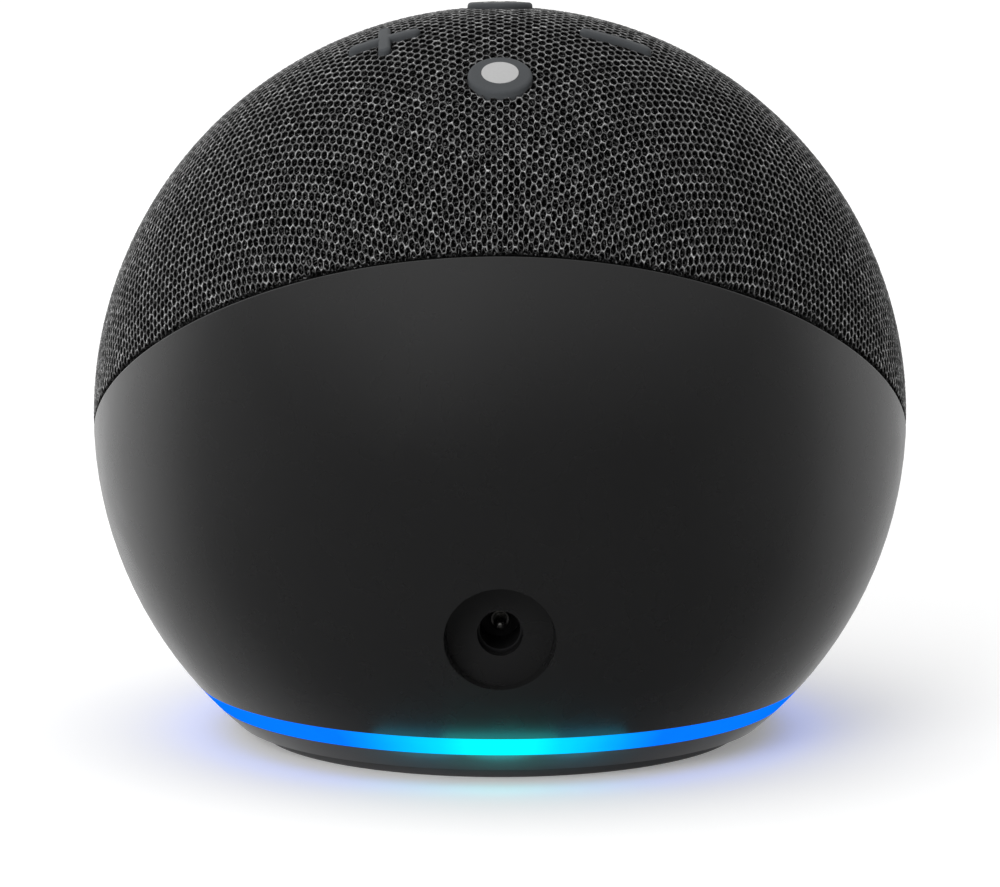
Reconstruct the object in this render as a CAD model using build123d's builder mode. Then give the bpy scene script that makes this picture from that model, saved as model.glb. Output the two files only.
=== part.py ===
"""A ball-shaped smart speaker that stands on a flat foot, as an assembly of separate pieces.

Frame: millimetres, +Z up, origin at the centre of the foot's underside. The listener's side is -Y and
the power socket is at the rear, +Y. The fabric dome, the smooth bowl, the light ring and the base all
lie on one ball. Buttons press straight down and the loudspeaker fires forwards, along -Y.
"""

import os
from math import cos, radians, sin, sqrt

from build123d import *

# ---------------------------------------------------------------- driving dimensions
BALL_RADIUS = 50.0
BALL_HEIGHT = 39.6  # centre of the ball above the table
BALL = (0, 0, BALL_HEIGHT)
FABRIC = 0.65
FABRIC_GAP = 0.05
DOME_WALL = 2.1
DOME_RADIUS = BALL_RADIUS - FABRIC - FABRIC_GAP
DOME_INSIDE = DOME_RADIUS - DOME_WALL
BOWL_RADIUS = BALL_RADIUS
BOWL_WALL = 2.4
BOWL_INSIDE = BOWL_RADIUS - BOWL_WALL

# the seam between fabric and bowl is one long bend seen from the side: high at the rear, low in front
SEAM_REAR = Vector(0, 41.1, 68.1)
SEAM_FRONT = Vector(0, -43.0, 14.0)
SEAM_SAG = 3.6
SEAM_GAP = 0.25
LIP_WALL = 1.5
LIP_DOWN = 3.0
LIP_UP = 4.0
CLEAR = 0.2

# heights of the stack at the bottom
FOOT_TOP = 2.0
BASE_BOTTOM = 1.5
BASE_FLOOR = 3.2
RING_BOTTOM = 3.95
RING_TOP = 6.4
BOWL_BOTTOM = 6.45
BOWL_FLOOR = 8.45
FOOT_RADIUS = 29.7
FOOT_INSIDE = 21.0
BASE_SCREW_CIRCLE = 24.0

# power socket
SOCKET_HEIGHT = 20.5
RECESS_FLOOR = 40.8
RECESS_RADIUS = 6.57
RECESS_DRAFT = 4.6
THROAT_RADIUS = 2.83
JACK_FACE = 38.5
JACK_BORE = 2.5
JACK_RIM = 2.72
JACK_FLOOR = 30.5
JACK_BACK = 27.0
JACK_WIDTH = 9.0
PIN_RADIUS = 0.82
PIN_TIP = 36.4
COLLAR_TIP = 32.3
COLLAR_RADIUS = 1.2

# buttons, in plan
BUTTON_CIRCLE = 14.2
BUTTON_CIRCLE_Y = 4.9
BUTTON_PROUD = 0.6
CAP_ROUND = 0.45
ROUND_BUTTON = 4.0
BAR_LENGTH = 8.8
BAR_WIDTH = 1.55
BUTTON_GAP = 0.22
FLANGE_WALL = 1.0
FLANGE_EXTRA = 1.1
TRAVEL = 0.35
BOARD_TOP = 75.5
BOARD_WALL = 1.4
SWITCH_TOP = 77.5
PLUNGER_TOP = 78.2
POST_RADIUS = 1.3

# loudspeaker, on an axis along Y
DRIVER_HEIGHT = 42.0
CHAMBER_RADIUS = 28.0
CHAMBER_WALL = 2.0
CHAMBER_FRONT = -31.0
CHAMBER_BACK = 3.0

# electronics
MAIN_FRONT = 9.0
MAIN_BACK = 10.4


def height_on(radius, distance):
    """Height above the table of a ball of this radius, at a distance from the upright axis."""
    return BALL_HEIGHT + sqrt(radius**2 - distance**2)


def reach_at(radius, height):
    """Distance from the upright axis to a ball of this radius, at a height below its centre."""
    return sqrt(radius**2 - (BALL_HEIGHT - height) ** 2)


def facing_front(y):
    """A sketch plane across the loudspeaker's axis, whose normal points to the listener."""
    return Plane(origin=(0, y, DRIVER_HEIGHT), x_dir=(1, 0, 0), z_dir=(0, -1, 0))


def facing_rear(y, height=0.0):
    """A sketch plane across the Y axis, whose normal points to the rear: local x is -X, local y is up."""
    return Plane(origin=(0, y, height), x_dir=(-1, 0, 0), z_dir=(0, 1, 0))


# ---------------------------------------------------------------- cutting tools for the seam
CHORD = SEAM_REAR - SEAM_FRONT
SEAM_BEND = ((CHORD.length / 2) ** 2 + SEAM_SAG**2) / (2 * SEAM_SAG)
SEAM_UP = Vector(0, -CHORD.Z, CHORD.Y).normalized()
SEAM_CENTRE = (SEAM_REAR + SEAM_FRONT) / 2 + SEAM_UP * (SEAM_BEND - SEAM_SAG)
TOOL_HALF = 60


def above_seam(raised):
    """Everything on the fabric's side of the seam, when the seam is raised by this much."""
    with BuildPart() as tool:
        with BuildSketch(Plane.YZ.offset(-TOOL_HALF)):
            with Locations((SEAM_CENTRE.Y, SEAM_CENTRE.Z)):
                Circle(SEAM_BEND - raised)
        extrude(amount=2 * TOOL_HALF)
    return tool.part


# ---------------------------------------------------------------- button outlines, in plan
ACTION_AT = (0, BUTTON_CIRCLE_Y + BUTTON_CIRCLE)
MUTE_AT = (0, BUTTON_CIRCLE_Y - BUTTON_CIRCLE)
UP_AT = (BUTTON_CIRCLE, BUTTON_CIRCLE_Y)
DOWN_AT = (-BUTTON_CIRCLE, BUTTON_CIRCLE_Y)
BUTTONS = {"volume_up": UP_AT, "volume_down": DOWN_AT, "mic_mute": MUTE_AT, "action": ACTION_AT}


def button_outline(name, grown, plane):
    """The plan of one button, grown by this much all round.

    The action button's is foreshortened, because it lies on the ball's slope.
    """
    across = ROUND_BUTTON + grown
    along = ROUND_BUTTON * sqrt(1 - (BUTTONS[name][1] / BALL_RADIUS) ** 2) + grown
    with BuildSketch(plane) as outline:
        with Locations(BUTTONS[name]):
            if name == "action":
                Ellipse(across, along)
            elif name == "mic_mute":
                Circle(across)
            else:
                SlotOverall(BAR_LENGTH + 2 * grown, BAR_WIDTH + 2 * grown)
            if name == "volume_up":
                SlotOverall(BAR_LENGTH + 2 * grown, BAR_WIDTH + 2 * grown, rotation=90)
    return outline.sketch


def flange_radius(name):
    round_cap = name in ("action", "mic_mute")
    return (ROUND_BUTTON if round_cap else BAR_LENGTH / 2) + FLANGE_EXTRA


def flange_top(name):
    """The flange stops below the dome's inner face at its outermost point."""
    x, y = BUTTONS[name]
    return height_on(DOME_INSIDE, sqrt(x**2 + y**2) + flange_radius(name)) - 0.3


def cut_buttons(grown):
    """Cuts the four button outlines down through the part being built."""
    for name in BUTTONS:
        add(button_outline(name, grown, Plane.XY.offset(SWITCH_TOP)))
        extrude(amount=20, mode=Mode.SUBTRACT)


BOARD_BOSSES = [(15, 18.5), (-15, 18.5), (17, -13), (-17, -13)]
MICROPHONE_SPOTS = [(21, -2), (-21, -2), (8, -19.5), (-8, -19.5)]

# ---------------------------------------------------------------- fabric cover and upper shell
with BuildPart() as fabric_cover:
    with Locations(BALL):
        Sphere(BALL_RADIUS)
        Sphere(BALL_RADIUS - FABRIC, mode=Mode.SUBTRACT)
    add(above_seam(SEAM_GAP), mode=Mode.INTERSECT)
    cut_buttons(BUTTON_GAP)

with BuildPart() as locating_lip:
    with Locations(BALL):
        Sphere(BOWL_INSIDE - CLEAR)
        Sphere(BOWL_INSIDE - CLEAR - LIP_WALL, mode=Mode.SUBTRACT)
    add(above_seam(-LIP_DOWN), mode=Mode.INTERSECT)
    add(above_seam(LIP_UP), mode=Mode.SUBTRACT)

GRILLE_HOLE = 1.9
GRILLE_PITCH = 5.0
with BuildPart() as upper_shell:
    with Locations(BALL):
        Sphere(DOME_RADIUS)
        Sphere(DOME_INSIDE, mode=Mode.SUBTRACT)
    with BuildSketch(Plane.XY.offset(BOARD_TOP)):
        with Locations(*BOARD_BOSSES):
            Circle(2.6)
    extrude(amount=20)
    with Locations(BALL):
        Sphere(DOME_RADIUS, mode=Mode.INTERSECT)
    add(above_seam(SEAM_GAP), mode=Mode.INTERSECT)
    add(locating_lip.part)
    cut_buttons(BUTTON_GAP)
    with BuildSketch(Plane.XY.offset(BOARD_TOP)):
        with Locations(*BOARD_BOSSES):
            Circle(1.05)
    extrude(amount=4.2, mode=Mode.SUBTRACT)
    with BuildSketch(Plane.XY.offset(BOARD_TOP)):
        with Locations(*MICROPHONE_SPOTS):
            Circle(0.6)
    extrude(amount=20, mode=Mode.SUBTRACT)
    with BuildSketch(facing_front(-30)):
        Circle(GRILLE_HOLE)
        for ring in range(1, 5):
            with PolarLocations(ring * GRILLE_PITCH, 6 * ring):
                Circle(GRILLE_HOLE)
    extrude(amount=25, mode=Mode.SUBTRACT)

# ---------------------------------------------------------------- lower shell
BASE_SCREW_SPOTS = [
    (BASE_SCREW_CIRCLE * cos(radians(turn)), BASE_SCREW_CIRCLE * sin(radians(turn)))
    for turn in (45, 135, 225, 315)
]
CHAMBER_POSTS = [(20, -22), (-20, -22), (20, -4), (-20, -4)]
POWER_POSTS = [(6.5, 22.5), (-6.5, 22.5)]
CHAMBER_PLATE = 16.0
POWER_BOARD_WALL = 1.4
POWER_BOARD_TOP = SOCKET_HEIGHT - JACK_WIDTH / 2
POWER_BOARD_BOTTOM = POWER_BOARD_TOP - POWER_BOARD_WALL
SEAM_HIGHEST = 72.0
CABLE_HOLE = (0, 7.5)
SEAM_ROUND = 0.25


def is_outer(edge):
    """Whether an edge lies on the outer face of the ball."""
    return abs((edge @ 0.5 - Vector(*BALL)).length - BOWL_RADIUS) < 0.01


with BuildPart() as lower_shell:
    with BuildSketch(Plane.XZ):
        with BuildLine():
            Polyline(
                (reach_at(BOWL_INSIDE, BOWL_FLOOR), BOWL_FLOOR),
                (0, BOWL_FLOOR),
                (0, BOWL_BOTTOM),
                (reach_at(BOWL_RADIUS, BOWL_BOTTOM), BOWL_BOTTOM),
            )
            ThreePointArc(
                (reach_at(BOWL_RADIUS, BOWL_BOTTOM), BOWL_BOTTOM),
                (BOWL_RADIUS, BALL_HEIGHT),
                (reach_at(BOWL_RADIUS, SEAM_HIGHEST), SEAM_HIGHEST),
            )
            Line(
                (reach_at(BOWL_RADIUS, SEAM_HIGHEST), SEAM_HIGHEST),
                (reach_at(BOWL_INSIDE, SEAM_HIGHEST), SEAM_HIGHEST),
            )
            ThreePointArc(
                (reach_at(BOWL_INSIDE, SEAM_HIGHEST), SEAM_HIGHEST),
                (BOWL_INSIDE, BALL_HEIGHT),
                (reach_at(BOWL_INSIDE, BOWL_FLOOR), BOWL_FLOOR),
            )
        make_face()
    revolve(axis=Axis.Z)
    add(above_seam(0), mode=Mode.SUBTRACT)
    fillet(lower_shell.faces().filter_by(GeomType.CYLINDER).edges().filter_by(is_outer), SEAM_ROUND)
    # a thick pad behind the socket, kept inside the ball
    with BuildSketch(facing_rear(JACK_FACE, SOCKET_HEIGHT)):
        Circle(RECESS_RADIUS + 2.4)
    extrude(amount=20)
    with Locations(BALL):
        Sphere(BOWL_RADIUS, mode=Mode.INTERSECT)
    with BuildSketch(facing_rear(RECESS_FLOOR, SOCKET_HEIGHT)):
        Circle(RECESS_RADIUS)
    extrude(amount=15, taper=-RECESS_DRAFT, mode=Mode.SUBTRACT)
    with BuildSketch(facing_rear(JACK_FACE - 1, SOCKET_HEIGHT)):
        Circle(THROAT_RADIUS)
    extrude(amount=8, mode=Mode.SUBTRACT)
    # bosses that stand on the floor
    with BuildSketch(Plane.XY.offset(BOWL_FLOOR)):
        with Locations(*BASE_SCREW_SPOTS):
            Circle(3.4)
    extrude(amount=5.7)
    with BuildSketch(Plane.XY.offset(BOWL_FLOOR)):
        with Locations(*CHAMBER_POSTS):
            Circle(2.8)
    extrude(amount=CHAMBER_PLATE - BOWL_FLOOR)
    with BuildSketch(Plane.XY.offset(BOWL_FLOOR)):
        with Locations(*POWER_POSTS):
            Circle(2.4)
    extrude(amount=POWER_BOARD_BOTTOM - BOWL_FLOOR)
    # pilot holes
    with BuildSketch(Plane.XY.offset(BOWL_BOTTOM)):
        with Locations(*BASE_SCREW_SPOTS):
            Circle(1.3)
    extrude(amount=6.2, mode=Mode.SUBTRACT)
    with BuildSketch(Plane.XY.offset(BOWL_FLOOR + 1)):
        with Locations(*CHAMBER_POSTS, *POWER_POSTS):
            Circle(1.05)
    extrude(amount=CHAMBER_PLATE - BOWL_FLOOR, mode=Mode.SUBTRACT)
    with BuildSketch(Plane.XY.offset(BOWL_BOTTOM)):
        with Locations(CABLE_HOLE):
            SlotOverall(14, 4)
    extrude(amount=BOWL_FLOOR - BOWL_BOTTOM, mode=Mode.SUBTRACT)

# ---------------------------------------------------------------- light ring and its electronics
RING_INSIDE = 31.0
with BuildPart() as light_ring:
    with BuildSketch(Plane.XZ):
        with BuildLine():
            Polyline(
                (reach_at(BOWL_RADIUS, RING_TOP), RING_TOP),
                (RING_INSIDE, RING_TOP),
                (RING_INSIDE, RING_BOTTOM),
                (reach_at(BOWL_RADIUS, RING_BOTTOM), RING_BOTTOM),
            )
            RadiusArc(
                (reach_at(BOWL_RADIUS, RING_BOTTOM), RING_BOTTOM),
                (reach_at(BOWL_RADIUS, RING_TOP), RING_TOP),
                -BOWL_RADIUS,
            )
        make_face()
    revolve(axis=Axis.Z)

with BuildPart() as light_reflector:
    with BuildSketch(Plane.XY.offset(5.5)):
        Circle(RING_INSIDE - 0.15)
        Circle(20, mode=Mode.SUBTRACT)
        with Locations(*BASE_SCREW_SPOTS):
            Circle(3.7, mode=Mode.SUBTRACT)
    extrude(amount=RING_TOP - 5.5)

LED_BOARD_TOP = BASE_FLOOR + 1.0
LED_CONNECTOR = 22.5
with BuildPart() as led_board:
    with BuildSketch(Plane.XY.offset(BASE_FLOOR)):
        Circle(30.5)
        Circle(20, mode=Mode.SUBTRACT)
        with Locations(*BASE_SCREW_SPOTS):
            Circle(3.7, mode=Mode.SUBTRACT)
    extrude(amount=LED_BOARD_TOP - BASE_FLOOR)

with BuildPart() as leds:
    with BuildSketch(Plane.XY.offset(LED_BOARD_TOP)):
        with PolarLocations(29.3, 12):
            Rectangle(1.6, 3.0)
    extrude(amount=1.1)

# ---------------------------------------------------------------- base
with BuildPart() as base_cup:
    with BuildSketch(Plane.XZ):
        with BuildLine():
            Polyline(
                (reach_at(BOWL_RADIUS, RING_BOTTOM - 0.05), RING_BOTTOM - 0.05),
                (RING_INSIDE, RING_BOTTOM - 0.05),
                (RING_INSIDE, BASE_FLOOR),
                (0, BASE_FLOOR),
                (0, FOOT_TOP),
                (FOOT_RADIUS + 0.2, FOOT_TOP),
                (FOOT_RADIUS + 0.2, BASE_BOTTOM),
                (reach_at(BOWL_RADIUS, BASE_BOTTOM), BASE_BOTTOM),
            )
            RadiusArc(
                (reach_at(BOWL_RADIUS, BASE_BOTTOM), BASE_BOTTOM),
                (reach_at(BOWL_RADIUS, RING_BOTTOM - 0.05), RING_BOTTOM - 0.05),
                -BOWL_RADIUS,
            )
        make_face()
    revolve(axis=Axis.Z)
    with BuildSketch(Plane.XY.offset(FOOT_TOP)):
        with Locations(*BASE_SCREW_SPOTS):
            Circle(3.4)
    extrude(amount=BOWL_BOTTOM - FOOT_TOP)
    with Locations(*[(x, y, FOOT_TOP) for x, y in BASE_SCREW_SPOTS]):
        Cylinder(2.4, 1.7, align=(Align.CENTER, Align.CENTER, Align.MIN), mode=Mode.SUBTRACT)
        Cylinder(1.4, 6, align=(Align.CENTER, Align.CENTER, Align.MIN), mode=Mode.SUBTRACT)

with BuildPart() as foot_ring:
    with BuildSketch():
        Circle(FOOT_RADIUS)
        Circle(FOOT_INSIDE, mode=Mode.SUBTRACT)
    extrude(amount=FOOT_TOP)
    chamfer(foot_ring.faces().sort_by(Axis.Z)[0].edges(), 0.25)

with BuildPart() as base_cover_disc:
    with BuildSketch(Plane.XY.offset(0.5)):
        Circle(FOOT_INSIDE - 0.2)
    extrude(amount=FOOT_TOP - 0.5)
    fillet(base_cover_disc.faces().sort_by(Axis.Z)[0].edges(), 0.3)


def screw(point, up, shank_radius, shank_length, head_radius, head_height):
    """One pan-head screw with a cross slot: the point is under the head, and up is the way it is driven."""
    drive = Plane(origin=point, z_dir=up)
    with BuildPart() as made:
        with BuildSketch(drive):
            Circle(shank_radius)
        extrude(amount=shank_length)
        with BuildSketch(drive):
            Circle(head_radius)
        extrude(amount=-head_height)
        fillet(made.faces().sort_by(Axis(point, tuple(-Vector(up))))[-1].edges(), head_height * 0.4)
        with BuildSketch(drive.offset(-head_height)):
            Rectangle(head_radius * 1.2, head_radius * 0.3)
            Rectangle(head_radius * 0.3, head_radius * 1.2)
        extrude(amount=head_height * 0.5, mode=Mode.SUBTRACT)
    return made.part


SHORT_SCREW = (1.0, 5.0, 2.0, 1.3)
LONG_SCREW = (1.0, 7.0, 1.8, 1.3)
BASE_SCREW = (1.2, 8.5, 2.2, 1.5)
base_screws = Compound(
    children=[screw((x, y, FOOT_TOP + 1.7), (0, 0, 1), *BASE_SCREW) for x, y in BASE_SCREW_SPOTS]
)

# ---------------------------------------------------------------- buttons
ICON_DEPTH = 0.5


def cap_ball(proud):
    with BuildPart() as ball:
        with Locations(BALL):
            Sphere(BALL_RADIUS + proud)
    return ball.part


def button_cap(name):
    """A cap whose top follows the ball, a flange under the dome and a post down to the switch."""
    top = flange_top(name)
    with BuildPart() as cap:
        add(button_outline(name, 0, Plane.XY.offset(top - 0.2)))
        extrude(amount=20)
        add(cap_ball(BUTTON_PROUD), mode=Mode.INTERSECT)
        fillet(cap.faces().filter_by(GeomType.SPHERE).edges(), CAP_ROUND)
        with BuildSketch(Plane.XY.offset(top - FLANGE_WALL)):
            with Locations(BUTTONS[name]):
                Circle(flange_radius(name))
        extrude(amount=FLANGE_WALL)
        if top - FLANGE_WALL > PLUNGER_TOP + 0.05:
            with BuildSketch(Plane.XY.offset(PLUNGER_TOP)):
                with Locations(BUTTONS[name]):
                    Circle(POST_RADIUS)
            extrude(amount=top - FLANGE_WALL - PLUNGER_TOP + 0.2)
    return cap.part


with BuildPart() as volume_up_button:
    add(button_cap("volume_up"))

with BuildPart() as volume_down_button:
    add(button_cap("volume_down"))


def dot_outline(grown):
    with BuildSketch(Plane.XY.offset(height_on(BALL_RADIUS, ACTION_AT[1]) - ICON_DEPTH - 1.5)) as dot:
        with Locations(ACTION_AT):
            Ellipse(2.3 + grown, 2.3 * cos(radians(22)) + grown)
    return dot.sketch


def mute_outline(grown):
    """A plain crossed-out microphone: a capsule, the cradle under it and a slanting bar."""
    with BuildSketch(Plane.XY.offset(height_on(BALL_RADIUS, -MUTE_AT[1]) - ICON_DEPTH - 0.6)) as icon:
        with Locations(MUTE_AT):
            with Locations((0, 0.6)):
                SlotOverall(2.6 + 2 * grown, 1.3 + 2 * grown, rotation=90)
            with BuildLine() as cradle:
                CenterArc((MUTE_AT[0], MUTE_AT[1] + 0.3), 1.45, 180, 180)
            trace(line_width=0.4 + 2 * grown)
            with Locations((0, -1.7)):
                Rectangle(0.4 + 2 * grown, 1.2 + 2 * grown)
            SlotOverall(5.6 + 2 * grown, 0.5 + 2 * grown, rotation=45)
    return icon.sketch


with BuildPart() as action_button:
    add(button_cap("action"))
    add(dot_outline(0.03))
    extrude(amount=10, mode=Mode.SUBTRACT)

with BuildPart() as action_dot:
    add(dot_outline(0))
    extrude(amount=10)
    add(cap_ball(BUTTON_PROUD + 0.03), mode=Mode.INTERSECT)

with BuildPart() as mic_mute_button:
    add(button_cap("mic_mute"))
    add(mute_outline(0.03))
    extrude(amount=10, mode=Mode.SUBTRACT)

with BuildPart() as mic_mute_icon:
    add(mute_outline(0))
    extrude(amount=10)
    add(cap_ball(BUTTON_PROUD + 0.03), mode=Mode.INTERSECT)


def switch_case(name):
    x, y = BUTTONS[name]
    with BuildPart() as case:
        with Locations((x, y, (BOARD_TOP + SWITCH_TOP) / 2)):
            Box(4.5, 4.5, SWITCH_TOP - BOARD_TOP)
        chamfer(case.edges().filter_by(Axis.Z), 0.4)
        with BuildSketch(Plane.XY.offset(SWITCH_TOP)):
            with Locations((x, y)):
                Circle(1.35)
        extrude(amount=-1.7, mode=Mode.SUBTRACT)
    return case.part


def switch_plunger(name):
    with BuildPart() as plunger:
        with BuildSketch(Plane.XY.offset(PLUNGER_TOP)):
            with Locations(BUTTONS[name]):
                Circle(1.15)
        extrude(amount=-1.8)
    return plunger.part


switches = {name: switch_case(name) for name in BUTTONS}
plungers = {name: switch_plunger(name) for name in BUTTONS}

# ---------------------------------------------------------------- button board and microphones
with BuildPart() as button_board:
    with BuildSketch(Plane.XY.offset(BOARD_TOP)):
        Circle(26)
        with Locations(*BOARD_BOSSES):
            Circle(1.25, mode=Mode.SUBTRACT)
    extrude(amount=-BOARD_WALL)

BOARD_BOTTOM = BOARD_TOP - BOARD_WALL
button_board_screws = [screw((x, y, BOARD_BOTTOM), (0, 0, 1), *SHORT_SCREW) for x, y in BOARD_BOSSES]

with BuildPart() as microphones:
    with BuildSketch(Plane.XY.offset(BOARD_TOP)):
        with Locations(*MICROPHONE_SPOTS):
            Rectangle(3.5, 2.65)
    extrude(amount=1.0)

with BuildPart() as microphone_boots:
    with BuildSketch(Plane.XY.offset(BOARD_TOP + 1.0)):
        with Locations(*MICROPHONE_SPOTS):
            Circle(1.3)
            Circle(0.6, mode=Mode.SUBTRACT)
    extrude(amount=15)
    with Locations(BALL):
        Sphere(DOME_INSIDE - 0.05, mode=Mode.INTERSECT)

# ---------------------------------------------------------------- loudspeaker driver
FLANGE_FRONT = -33.3
FLANGE_BACK = -31.8
FRAME_RADIUS = 25.0
ROLL_OUTSIDE = 21.2
CONE_EDGE = 17.9
YOKE_FRONT = -19.5
YOKE_BACK = -9.5
YOKE_RADIUS = 13.0
YOKE_INSIDE = 10.6
POLE_RADIUS = 9.0
COIL_INSIDE = 9.45
COIL_OUTSIDE = 10.15
FORMER_OUTSIDE = 9.8


def turned(points):
    """A solid of revolution about the loudspeaker's axis, from (radius, y) corners."""
    profile = Plane(origin=(0, 0, DRIVER_HEIGHT), x_dir=(1, 0, 0), z_dir=(0, 0, 1))
    with BuildPart() as made:
        with BuildSketch(profile):
            with BuildLine():
                Polyline(*points, close=True)
            make_face()
        revolve(axis=Axis((0, 0, DRIVER_HEIGHT), (0, 1, 0)))
    return made.part


DRIVER_SCREW_CIRCLE = 23.1
with BuildPart() as driver_frame:
    add(
        turned(
            [
                (FRAME_RADIUS, FLANGE_FRONT),
                (ROLL_OUTSIDE + 0.1, FLANGE_FRONT),
                (ROLL_OUTSIDE + 0.1, FLANGE_FRONT + 0.7),
                (19.9, FLANGE_FRONT + 0.7),
                (13.6, -22.4),
                (12.9, -22.4),
                (12.9, YOKE_FRONT - 0.9),
                (10.9, YOKE_FRONT - 0.9),
                (10.9, YOKE_FRONT - 0.05),
                (YOKE_RADIUS + 0.1, YOKE_FRONT - 0.05),
                (YOKE_RADIUS + 0.1, YOKE_FRONT + 2.5),
                (YOKE_RADIUS + 1.3, YOKE_FRONT + 2.5),
                (YOKE_RADIUS + 1.9, -22.4),
                (21.2, FLANGE_BACK),
                (FRAME_RADIUS, FLANGE_BACK),
            ]
        )
    )
    with BuildSketch(facing_front(FLANGE_BACK)):
        with PolarLocations(17.6, 6, start_angle=30):
            Rectangle(4.2, 9.5)
    extrude(amount=-8.4, mode=Mode.SUBTRACT)
    with BuildSketch(facing_front(FLANGE_BACK)):
        with PolarLocations(DRIVER_SCREW_CIRCLE, 4, start_angle=45):
            Circle(1.25)
    extrude(amount=3, both=True, mode=Mode.SUBTRACT)

with BuildPart() as driver_gasket:
    with BuildSketch(facing_front(CHAMBER_FRONT)):
        Circle(FRAME_RADIUS - 0.2)
        Circle(21.6, mode=Mode.SUBTRACT)
        with PolarLocations(DRIVER_SCREW_CIRCLE, 4, start_angle=45):
            Circle(1.25, mode=Mode.SUBTRACT)
    extrude(amount=CHAMBER_FRONT - FLANGE_BACK)

DRIVER_SCREW_SPOTS = [
    (DRIVER_SCREW_CIRCLE * cos(radians(a)), FLANGE_FRONT, DRIVER_HEIGHT + DRIVER_SCREW_CIRCLE * sin(radians(a)))
    for a in (45, 135, 225, 315)
]
driver_screws = [screw(spot, (0, 1, 0), *LONG_SCREW) for spot in DRIVER_SCREW_SPOTS]

ROLL_CENTRE = (ROLL_OUTSIDE + CONE_EDGE) / 2
ROLL_RADIUS = 1.25
ROLL_WALL = 0.4
ROLL_PLANE = FLANGE_FRONT + 0.65
with BuildPart() as driver_surround:
    with BuildSketch(Plane(origin=(0, 0, DRIVER_HEIGHT), x_dir=(1, 0, 0), z_dir=(0, 0, 1))):
        with BuildLine():
            Polyline(
                (ROLL_OUTSIDE, ROLL_PLANE - ROLL_WALL),
                (ROLL_OUTSIDE, ROLL_PLANE),
                (ROLL_CENTRE + ROLL_RADIUS - ROLL_WALL, ROLL_PLANE),
            )
            ThreePointArc(
                (ROLL_CENTRE + ROLL_RADIUS - ROLL_WALL, ROLL_PLANE),
                (ROLL_CENTRE, ROLL_PLANE - ROLL_RADIUS),
                (ROLL_CENTRE - ROLL_RADIUS + ROLL_WALL, ROLL_PLANE),
            )
            Polyline(
                (ROLL_CENTRE - ROLL_RADIUS + ROLL_WALL, ROLL_PLANE),
                (CONE_EDGE + 0.15, ROLL_PLANE),
                (CONE_EDGE + 0.15, ROLL_PLANE - ROLL_WALL),
                (ROLL_CENTRE - ROLL_RADIUS, ROLL_PLANE - ROLL_WALL),
            )
            ThreePointArc(
                (ROLL_CENTRE - ROLL_RADIUS, ROLL_PLANE - ROLL_WALL),
                (ROLL_CENTRE, ROLL_PLANE - ROLL_WALL - ROLL_RADIUS),
                (ROLL_CENTRE + ROLL_RADIUS, ROLL_PLANE - ROLL_WALL),
            )
            Line(
                (ROLL_CENTRE + ROLL_RADIUS, ROLL_PLANE - ROLL_WALL),
                (ROLL_OUTSIDE, ROLL_PLANE - ROLL_WALL),
            )
        make_face()
    revolve(axis=Axis((0, 0, DRIVER_HEIGHT), (0, 1, 0)))

with BuildPart() as driver_cone:
    add(
        turned(
            [
                (CONE_EDGE, ROLL_PLANE - 0.4),
                (CONE_EDGE, ROLL_PLANE + 0.1),
                (FORMER_OUTSIDE + 0.05, -27.4),
                (FORMER_OUTSIDE + 0.05, -27.9),
            ]
        )
    )

CAP_RISE = 3.0
CAP_EDGE = 9.9
CAP_WALL = 0.4
CAP_PLANE = -27.95
CAP_CURVE = (CAP_EDGE**2 + CAP_RISE**2) / (2 * CAP_RISE)
with BuildPart() as driver_dust_cap:
    with Locations((0, CAP_PLANE - CAP_RISE + CAP_CURVE, DRIVER_HEIGHT)):
        Sphere(CAP_CURVE)
        Sphere(CAP_CURVE - CAP_WALL, mode=Mode.SUBTRACT)
    with BuildSketch(facing_front(CAP_PLANE)):
        Circle(CAP_EDGE + 1)
    extrude(amount=2 * CAP_RISE, mode=Mode.INTERSECT)

voice_coil = turned(
    [
        (COIL_INSIDE, -27.9),
        (FORMER_OUTSIDE, -27.9),
        (FORMER_OUTSIDE, -21.0),
        (COIL_OUTSIDE, -21.0),
        (COIL_OUTSIDE, -15.8),
        (COIL_INSIDE, -15.8),
    ]
)

SPIDER_PLANE = -23.3
SPIDER_WAVE = 0.45
SPIDER_STEPS = 4
SPIDER_INSIDE = FORMER_OUTSIDE + 0.05
SPIDER_OUTSIDE = 13.5
SPIDER_PITCH = (SPIDER_OUTSIDE - SPIDER_INSIDE) / SPIDER_STEPS
SPIDER_WAVES = [
    (SPIDER_INSIDE + SPIDER_PITCH * step, SPIDER_PLANE + SPIDER_WAVE * (-1) ** step)
    for step in range(SPIDER_STEPS + 1)
]
driver_spider = turned(SPIDER_WAVES + [(r, y + 0.25) for r, y in reversed(SPIDER_WAVES)])

driver_yoke = turned(
    [
        (0, YOKE_BACK),
        (YOKE_RADIUS, YOKE_BACK),
        (YOKE_RADIUS, YOKE_FRONT),
        (YOKE_INSIDE, YOKE_FRONT),
        (YOKE_INSIDE, -12.0),
        (0, -12.0),
    ]
)
driver_magnet = turned([(0, -12.05), (8.4, -12.05), (8.4, -17.0), (0, -17.0)])
driver_pole_piece = turned([(0, -17.05), (POLE_RADIUS, -17.05), (POLE_RADIUS, YOKE_FRONT), (0, YOKE_FRONT)])

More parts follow.
